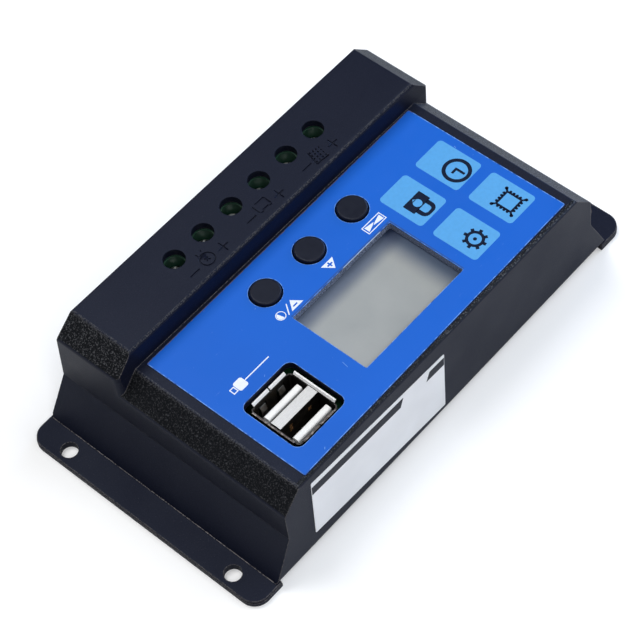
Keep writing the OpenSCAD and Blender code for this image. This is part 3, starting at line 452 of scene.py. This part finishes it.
gold = plated_metal("thin_gold", (0.83, 0.6, 0.28), 0.25)
aluminium = plated_metal("mill_aluminium", (0.8, 0.81, 0.82), 0.38, stretch=(8, 1, 8))
shunt_alloy = plated_metal("shunt_alloy", (0.62, 0.42, 0.3), 0.35)

FINISHES = {
    charcoal: ["base_plate"],
    label_film(): ["face_label"],
    sticker_film(): ["rating_sticker"],
    display_film(): ["lcd_polariser"],
    clear_glass(): ["lcd_glass"],
    guide_acrylic: ["lcd_backlight"],
    black_nylon: ["lcd_frame", "board_header", "tact_switches", "plunger_menu", "plunger_up", "plunger_down"],
    button_black: ["button_menu", "button_up", "button_down"],
    circuit_laminate(): ["display_board", "main_board"],
    epoxy: ["power_transistors", "microcontroller"],
    ferrite: ["usb_inductor"],
    sleeve: ["capacitors"],
    shunt_alloy: ["current_shunts"],
    aluminium: ["heat_sink"],
    zinc: ["case_screws", "display_screws", "board_screws", "heat_sink_screws"],
    greased_zinc: [f"terminal_screw_{i}" for i in range(1, 7)],
    tin: ["lcd_pins", "terminal_pins"] + [f"clamp_cage_{i}" for i in range(1, 7)],
    terminal_green: ["terminal_block_solar", "terminal_block_battery", "terminal_block_load"],
    usb_plating(): ["usb_shell"],
    usb_strip(): ["usb_divider"],
    white_nylon: ["usb_insulator"],
    gold: ["usb_contacts"],
}
for finish, names in FINISHES.items():
    for name in names:
        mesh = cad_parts[name].data
        mesh.materials.clear()
        mesh.materials.append(finish)


# ---------- Flat printed shapes ----------


class Print:
    """Flat shapes in one ink, drawn in millimetres at height z and given the ink's thickness at the end."""

    def __init__(self, z):
        self.bm = bmesh.new()
        self.z = z

    def polygon(self, points):
        return self.bm.faces.new([self.bm.verts.new((x, y, self.z)) for x, y in points])

    def rect(self, x0, y0, x1, y1, corner=0.0):
        """Rectangle, with rounded corners if asked for; returns its face in a list."""
        drawn = set(self.bm.faces)
        face = self.polygon([(x0, y0), (x1, y0), (x1, y1), (x0, y1)])
        if corner:
            bmesh.ops.bevel(
                self.bm, geom=face.verts[:], offset=corner, offset_type="OFFSET",
                affect="VERTICES", segments=6, profile=0.5, material=-1,
            )
        return [f for f in self.bm.faces if f not in drawn]

    def frame(self, x0, y0, x1, y1, line, corner=0.0):
        """Outline of a rectangle, line wide, drawn inwards."""
        self.hollow(self.rect(x0, y0, x1, y1, corner), line)

    def disc(self, x, y, radius, sides=48):
        ring = bmesh.ops.create_circle(
            self.bm, cap_ends=True, radius=radius, segments=sides, matrix=Matrix.Translation((x, y, self.z))
        )
        return list({f for v in ring["verts"] for f in v.link_faces})

    def ring(self, x, y, radius, line, sides=48):
        self.hollow(self.disc(x, y, radius, sides), line)

    def hollow(self, faces, line):
        """Keeps only a band of the faces, line wide, along their outline."""
        self.bm.normal_update()
        bmesh.ops.inset_region(self.bm, faces=faces, thickness=line, use_even_offset=True, use_boundary=True)
        bmesh.ops.delete(self.bm, geom=faces, context="FACES")

    def bar(self, start, end, width):
        """Straight stroke from start to end."""
        a, b = Vector(start), Vector(end)
        side = Vector((a.y - b.y, b.x - a.x)).normalized() * width / 2
        self.polygon([a - side, b - side, b + side, a + side])

    def build(self, name, finish, slot, thickness=INK, place=Matrix()):
        """Turns the shapes to face up, gives them their thickness and makes the piece."""
        bm = self.bm
        bmesh.ops.recalc_face_normals(bm, faces=bm.faces[:])
        upside_down = [f for f in bm.faces if f.normal.z < 0]
        bmesh.ops.reverse_faces(bm, faces=upside_down)
        tops = bmesh.ops.extrude_face_region(bm, geom=bm.faces[:])
        bmesh.ops.translate(
            bm, vec=(0, 0, thickness), verts=[g for g in tops["geom"] if isinstance(g, bmesh.types.BMVert)]
        )
        bmesh.ops.recalc_face_normals(bm, faces=bm.faces[:])
        bmesh.ops.transform(bm, matrix=Matrix.Scale(MM, 4) @ place, verts=bm.verts[:])
        return make_piece(name, bm, finish)


def make_piece(name, bm, finish, body=FIXED):
    mesh = bpy.data.meshes.new(name)
    bm.to_mesh(mesh)
    bm.free()
    mesh.materials.append(finish)
    piece = bpy.data.objects.new(name, mesh)
    bpy.context.scene.collection.objects.link(piece)
    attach(piece, body)
    return piece


# ---------- Face label: panels, pictograms and signs ----------

# The film lies a little askew: what is printed on it is drawn straight and then turned with it.
LABEL_MIDDLE = Vector((-0.22, 9.61, 0))
LABEL_SIZE = Vector((91.4, 46.0))
LABEL_TURN = Matrix.Rotation(math.radians(0.4), 4, "Z")
ASKEW = Matrix.Translation(LABEL_MIDDLE) @ LABEL_TURN @ Matrix.Translation(-LABEL_MIDDLE)

PANEL = Vector((9.67, 12.66))  # a pale panel's length and width
PANEL_X = (-38.58, -25.57)
PANEL_Y = (4.45, 20.1)

pale_blue = ink("ink_pale_blue", (0.083, 0.345, 0.705))
black_ink = ink("ink_black", (0.004, 0.01, 0.03), shine=0.12)
matt_black_ink = ink("ink_matt_black", (0.04, 0.042, 0.052), roughness=0.7, shine=0.15)
white_ink = ink("ink_white", (0.78, 0.82, 0.9))
blue_ink = ink("ink_royal_blue", (0.005, 0.11, 0.545), shine=0.2)
# painted shade and painted highlight for the display window's edge
painted_shade_ink = ink("ink_painted_shade_blue", (0.02, 0.085, 0.33), shine=0.2)
painted_glint_ink = ink("ink_painted_glint", (0.34, 0.4, 0.46))
lint_white = ink("lint_white", (0.12, 0.3, 0.72))

# strokes of lint: start, end and width
LINT = [
    ((18.45, 20.5), (18.7, 22.2), 0.12),
    ((37.3, 31.6), (37.75, 32.0), 0.15),
    ((-43.8, 1.7), (-43.6, 2.3), 0.15),
    ((31.5, 9.3), (32.0, 9.6), 0.1),
]

panels = Print(LABEL_TOP)
for x in PANEL_X:
    for y in PANEL_Y:
        panels.rect(x - PANEL.x / 2, y - PANEL.y / 2, x + PANEL.x / 2, y + PANEL.y / 2, corner=1.0)
panels.build("label_panels", pale_blue, "label_print", place=ASKEW)

signs = Print(LABEL_TOP + INK)

# clock: a ring and two hands
clock = Vector((-38.53, 7.0))
hands = clock + Vector((-0.29, -0.42))
signs.ring(*clock, 3.55, 0.95)
signs.bar(hands - Vector((0.33, 0)), hands + Vector((1.6, 0)), 0.66)
signs.bar(hands + Vector((0, 0.33)), hands + Vector((0, 2.5)), 0.66)

# chip: a square frame with round legs all round and a lug at each corner
chip = Vector((-38.65, 22.1))
CHIP_HALF = 2.4
signs.frame(chip.x - CHIP_HALF, chip.y - CHIP_HALF, chip.x + CHIP_HALF, chip.y + CHIP_HALF, 0.55)
for step in (-1.4, -0.47, 0.47, 1.4):
    for side in (-1, 1):
        edge = side * (CHIP_HALF + 0.12)
        signs.disc(*(chip + Vector((step, edge))), 0.36, sides=20)
        signs.disc(*(chip + Vector((edge, step))), 0.36, sides=20)
for sx in (-1, 1):
    for sy in (-1, 1):
        out = Vector((sx, sy))
        signs.bar(chip + out * (CHIP_HALF - 0.1), chip + out * 2.85, 0.55)
        signs.disc(*(chip + out * 2.85), 0.44, sides=24)

# padlock: a body with stepped shoulders under a thick shackle
lock = Vector((-25.6, 5.63))
signs.rect(lock.x - 2.95, lock.y - 1.85, lock.x + 2.95, lock.y + 1.55, corner=0.2)
SHACKLE_OUT, SHACKLE_IN, SHACKLE_TOP = 2.3, 1.15, 4.5


def shackle_side(half, top, corner, steps=8):
    """Right-hand side of the shackle's outline, from its foot round to its crown."""
    turns = [math.radians(90 * i / steps) for i in range(steps + 1)]
    return [(half, 1.4)] + [
        (half - corner + corner * math.cos(a), top - corner + corner * math.sin(a)) for a in turns
    ]


outer = shackle_side(SHACKLE_OUT, SHACKLE_TOP, 1.7)
inner = shackle_side(SHACKLE_IN, SHACKLE_TOP - 0.85, 0.75)
outline = outer + [(-x, y) for x, y in reversed(outer)] + [(-x, y) for x, y in inner] + list(reversed(inner))
signs.polygon([(lock.x + x, lock.y + y) for x, y in outline])

# gear: a toothed ring with a dot at its centre
gear = Vector((-25.58, 22.5))
GEAR_TEETH = 8
signs.ring(*gear, 2.3, 0.75)
signs.disc(*gear, 0.46, sides=24)
for tooth in range(GEAR_TEETH):
    turn = math.tau * (tooth + 0.125) / GEAR_TEETH
    out = Vector((math.cos(turn), math.sin(turn)))
    signs.bar(gear + out * 2.2, gear + out * 2.95, 0.82)
signs.build("label_pictograms", black_ink, "label_print", place=ASKEW)

keyhole = Print(LABEL_TOP + 2 * INK)
keyhole.disc(lock.x, lock.y + 0.15, 1.12, sides=32)
keyhole.polygon([(lock.x - 0.6, lock.y - 0.75), (lock.x, lock.y - 1.4), (lock.x + 0.6, lock.y - 0.75)])
keyhole.build("label_keyhole", pale_blue, "label_print", place=ASKEW)

# white signs under the display: battery with a flash, up, down and half-lit lamp
white = Print(LABEL_TOP)
white.frame(-18.05, 0.2, -11.85, 2.7, 0.24)
white.polygon([(-17.5, 0.7), (-15.3, 1.35), (-14.5, 1.75), (-17.5, 2.25)])
white.polygon([(-12.45, 0.65), (-12.45, 2.25), (-14.4, 1.55), (-15.2, 1.15)])
white.polygon([(-1.86, 0.08), (2.05, 0.08), (0.05, 2.72)])
white.polygon([(11.3, 2.9), (13.2, 0.4), (15.05, 2.9)])
white.bar((14.45, 0.5), (16.2, 3.0), 0.28)
lamp = Vector((17.6, 1.72))
white.ring(*lamp, 1.25, 0.2, sides=40)
white.polygon(
    [lamp + Vector((math.cos(a), math.sin(a))) * 0.98
     for a in (math.radians(d) for d in range(-75, 106, 12))]
)

# plug sign by the USB socket: grip, tip with its two contacts, and a length of cord
white.rect(35.3, 5.4, 38.0, 8.15, corner=0.6)
white.frame(38.15, 5.95, 39.55, 7.6, 0.25)
white.bar((27.4, 6.78), (35.2, 6.78), 0.28)
white.build("label_white_signs", white_ink, "label_print")

inset = Print(LABEL_TOP + INK)
inset.bar((-0.68, 1.08), (0.88, 1.08), 0.42)
inset.bar((0.09, 0.36), (0.09, 0.87), 0.42)
inset.bar((0.09, 1.29), (0.09, 1.8), 0.42)
inset.bar((12.6, 2.2), (13.95, 2.2), 0.38)
inset.rect(38.5, 6.2, 38.9, 6.6)
inset.rect(38.5, 6.95, 38.9, 7.35)
inset.build("label_sign_insets", blue_ink, "label_print")

# the film's pale cut edge, partly a painted highlight, all round it and round its openings
WINDOW = ((-17.35, 4.1), (16.35, 25.6))
USB_OPENING = ((25.2, 10.8), (41.4, 27.8))
BUTTONS = ((-15, -5.15), (0, -5.15), (15, -5.15))
BUTTON_HOLE_R = 4.0

cut_edge = Print(LABEL_TOP)
low, high = LABEL_MIDDLE.xy - LABEL_SIZE / 2, LABEL_MIDDLE.xy + LABEL_SIZE / 2
cut_edge.frame(low.x + 0.03, low.y + 0.03, high.x - 0.03, high.y - 0.03, 0.16, corner=0.38)
cut_edge.build("label_cut_edge", film_edge(), "label_print", place=ASKEW)

openings_edge = Print(LABEL_TOP)
for (x0, y0), (x1, y1), corner in ((*WINDOW, 0.45), (*USB_OPENING, 2.05)):
    openings_edge.frame(x0 - 0.11, y0 - 0.11, x1 + 0.11, y1 + 0.11, 0.1, corner=corner)
for x, y in BUTTONS:
    openings_edge.ring(x, y, BUTTON_HOLE_R + 0.13, 0.1)
openings_edge.build("label_opening_edges", film_edge(), "label_print")

# along the display window the film's edge is painted darker as painted shade, and a thin pale line there is a
# painted highlight along the cut
window_edge_shade = Print(LABEL_TOP)
window_edge_shade.bar((-17.3, 3.78), (16.3, 3.78), 0.36)
window_edge_shade.bar((-17.66, 3.6), (-17.66, 25.5), 0.34)
window_edge_shade.build("label_painted_shade_edge", painted_shade_ink, "label_print")
# painted highlight: a thin pale line along the cut
window_edge_glint = Print(LABEL_TOP + INK)
window_edge_glint.bar((-14.0, 4.15), (-1.0, 4.15), 0.16)
window_edge_glint.build("label_painted_glint", painted_glint_ink, "label_print")

# nicks and lint on the film
lint = Print(LABEL_TOP + INK)
for start, end, width in LINT:
    lint.bar(start, end, width)
lint.build("label_lint", lint_white, "label_print")


# ---------- Camera, light and floor ----------

CAMERA_PLACE = Vector((209.14, 212.30, 433.89)) * MM
CAMERA_TARGET = Vector((7.61, 3.69, 17.0)) * MM
CAMERA_ROLL = math.radians(-6.31)
LENS = 125.33

camera_data = bpy.data.cameras.new("camera")
camera_data.lens = LENS
camera_data.sensor_width = 36
camera = bpy.data.objects.new("camera", camera_data)
bpy.context.scene.collection.objects.link(camera)
aim = (CAMERA_TARGET - CAMERA_PLACE).to_track_quat("-Z", "Y").to_matrix().to_4x4()
camera.matrix_world = Matrix.Translation(CAMERA_PLACE) @ aim @ Matrix.Rotation(CAMERA_ROLL, 4, "Z")
bpy.context.scene.camera = camera


def softbox(name, place, size, power, colour=(1, 1, 1)):
    """Square lamp aimed at the middle of the object."""
    data = bpy.data.lights.new(name, "AREA")
    data.shape = "SQUARE"
    data.size = size
    data.energy = power
    data.color = colour
    lamp = bpy.data.objects.new(name, data)
    bpy.context.scene.collection.objects.link(lamp)
    place = Vector(place)
    lamp.matrix_world = Matrix.Translation(place) @ (-place).to_track_quat("-Z", "Y").to_matrix().to_4x4()
    return lamp


softbox("left_softbox", (0.05, -0.5, 1.15), 0.6, 8.25)
softbox("right_softbox", (-0.75, 0.25, 1.0), 0.7, 6.5, (0.9, 0.95, 1.0))
softbox("far_low_softbox", (-0.85, 0.0, 0.1), 0.5, 5.2, (0.36, 0.56, 1.0))
softbox("front_softbox", (-0.15, 0.9, 0.45), 0.5, 1.55, (0.85, 0.92, 1.0))
softbox("fill_softbox", (0.35, 0.5, 0.9), 0.5, 4.3)

world = bpy.data.worlds.new("studio")
bpy.context.scene.world = world
world.use_nodes = True
world.node_tree.nodes["Background"].inputs["Color"].default_value = (0.85, 0.92, 1.0, 1)
world.node_tree.nodes["Background"].inputs["Strength"].default_value = 0.06
# seen past the floor's edge the studio is plain white
sky = world.node_tree
white_wall = sky.nodes.new("ShaderNodeBackground")
white_wall.inputs["Color"].default_value = (1, 1, 1, 1)
seen = sky.nodes.new("ShaderNodeMixShader")
sky.links.new(sky.nodes.new("ShaderNodeLightPath").outputs["Is Camera Ray"], seen.inputs[0])
sky.links.new(sky.nodes["Background"].outputs[0], seen.inputs[1])
sky.links.new(white_wall.outputs[0], seen.inputs[2])
sky.links.new(seen.outputs[0], sky.nodes["World Output"].inputs["Surface"])

bm = bmesh.new()
bmesh.ops.create_grid(bm, x_segments=1, y_segments=1, size=3, matrix=Matrix.Translation((0, 0, -0.05 * MM)))
mesh = bpy.data.meshes.new("floor")
bm.to_mesh(mesh)
bm.free()
floor = bpy.data.objects.new("floor", mesh)
bpy.context.scene.collection.objects.link(floor)
paper = Finish("white_paper", roughness=0.9)
paper.colour(paper.mix(paper.map(paper.noise(60), 0.3, 0.7), (0.8, 0.8, 0.8), (0.82, 0.82, 0.82)))
rays = paper.add("ShaderNodeLightPath")
glow = paper.math("MULTIPLY", rays.outputs["Is Camera Ray"], 0.2)
paper.put((1.0, 1.0, 1.0), paper.shader.inputs["Emission Color"])
paper.put(glow, paper.shader.inputs["Emission Strength"])
mesh.materials.append(paper.material)

bpy.context.scene.view_settings.view_transform = "Standard"

# ---------- Case with its sunk terminal signs ----------


SIGN_DEPTH = 0.3
SIGN_LINE = 0.32
SIGN_HALF = 1.5  # half a stroke of the plus and minus signs
PLUS_X = (-23.3, -4.55, 14.4)
MINUS_X = (-14.3, 4.75, 23.74)
SIGN_Y = -17.75


def sunk_signs():
    """The signs to be cut into the ridge: plus, minus, solar panel, battery and lamp."""
    marks = Print(RIDGE_TOP - SIGN_DEPTH)
    for x in PLUS_X:
        marks.bar((x - SIGN_HALF, SIGN_Y), (x + SIGN_HALF, SIGN_Y), SIGN_LINE)
        for side in (-1, 1):
            marks.bar((x, SIGN_Y + side * SIGN_LINE / 2), (x, SIGN_Y + side * SIGN_HALF), SIGN_LINE)
    for x in MINUS_X:
        marks.bar((x - SIGN_HALF, SIGN_Y), (x + SIGN_HALF, SIGN_Y), SIGN_LINE)
    # panel: a slanted outline with rows of cells
    corners = [Vector(c) for c in ((-17.49, -20.33), (-16.35, -16.46), (-20.28, -16.21), (-20.91, -19.81))]
    long_a, long_b, short_b, short_a = corners
    marks.bar(long_a, long_b, SIGN_LINE)
    marks.bar(long_b + Vector((-0.2, 0)), short_b, SIGN_LINE)
    COLUMNS, ROWS = 4, 4
    for i in range(COLUMNS):
        for j in range(ROWS):
            u = (i + 0.5) / COLUMNS
            near, far = long_a.lerp(short_a, u), long_b.lerp(short_b, u)
            start, end = near.lerp(far, (j + 0.12) / ROWS), near.lerp(far, (j + 0.62) / ROWS)
            marks.bar(start, end, 0.36)
    # battery: a box with two posts, open at one corner
    x0, x1, y0, y1 = -1.6, 2.2, -20.0, -17.6
    marks.bar((x1, y0), (x1, y1), SIGN_LINE)
    marks.bar((x0, y0), (x1 - 1.0, y0), SIGN_LINE)
    marks.bar((x0, y0 + SIGN_LINE / 2), (x0, y1), SIGN_LINE)
    marks.bar((-0.7, y1), (1.1, y1), SIGN_LINE)
    for post in (-1.15, 1.6):
        marks.rect(post - 0.42, y1 + 0.2, post + 0.42, y1 + 0.5)
    # lamp: a ring with a cross in it and two rays
    lamp_at = Vector((19.12, -18.24))
    marks.ring(*lamp_at, 1.95, SIGN_LINE, sides=40)
    for turn in (45, 135):
        out = Vector((math.cos(math.radians(turn)), math.sin(math.radians(turn))))
        marks.bar(lamp_at + out * 0.2, lamp_at + out * 0.8, 0.26)
        marks.bar(lamp_at - out * 0.2, lamp_at - out * 0.8, 0.26)
    marks.bar((20.09, -21.1), (20.06, -20.25), SIGN_LINE)
    marks.bar((18.5, -21.1), (18.5, -20.75), SIGN_LINE)
    return marks


FLAT_AREA = 30 * MM ** 2  # faces larger than this are flat walls, the rest belong to roundings


def engraved_case():
    """The case moulding, cut by the signs."""
    bm = bmesh.new()
    bm.from_mesh(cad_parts["upper_case"].data)
    bmesh.ops.remove_doubles(bm, verts=bm.verts[:], dist=0.002 * MM)
    bmesh.ops.dissolve_limit(bm, angle_limit=math.radians(0.1), verts=bm.verts[:], edges=bm.edges[:])
    case = make_piece("case_shell", bm, charcoal)
    cutter = sunk_signs().build("sign_cutter", sign_groove_painted_shade, "case_plastic", thickness=2 * SIGN_DEPTH)
    cut = case.modifiers.new("signs", "BOOLEAN")
    cut.operation = "DIFFERENCE"
    cut.solver = "EXACT"
    cut.use_self = True
    cut.object = cutter
    bpy.context.view_layer.update()
    finished = bpy.data.meshes.new_from_object(case.evaluated_get(bpy.context.evaluated_depsgraph_get()))
    case.modifiers.clear()
    case.data = finished
    bpy.data.objects.remove(cutter)
    finished.set_sharp_from_angle(angle=math.radians(32))
    for face in finished.polygons:
        face.use_smooth = face.area < FLAT_AREA
    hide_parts("upper_case")
    return case


engraved_case()

# ---------- Rating sticker ----------

STICKER_TILT = 3.2
FACE_LEAN = math.degrees(math.atan2(1.14, 24.85))
on_sticker = (
    Matrix.Translation((0, 35, 3.2))
    @ Matrix.Rotation(math.radians(90 + FACE_LEAN), 4, "X")
    @ Matrix.Translation((23.2, 11.6, 0))
    @ Matrix.Rotation(math.radians(STICKER_TILT), 4, "Z")
)
bands = Print(-0.13 - INK)
bands.polygon([(-7.25, 5.4), (22.3, 5.12), (22.3, 7.78), (-8.25, 8.06)])
bands.polygon([(-22.3, 5.6), (-16.1, 5.55), (-17.3, 8.15), (-22.3, 8.2)])
bands.build("sticker_bands", matt_black_ink, "sticker_paper", place=on_sticker)
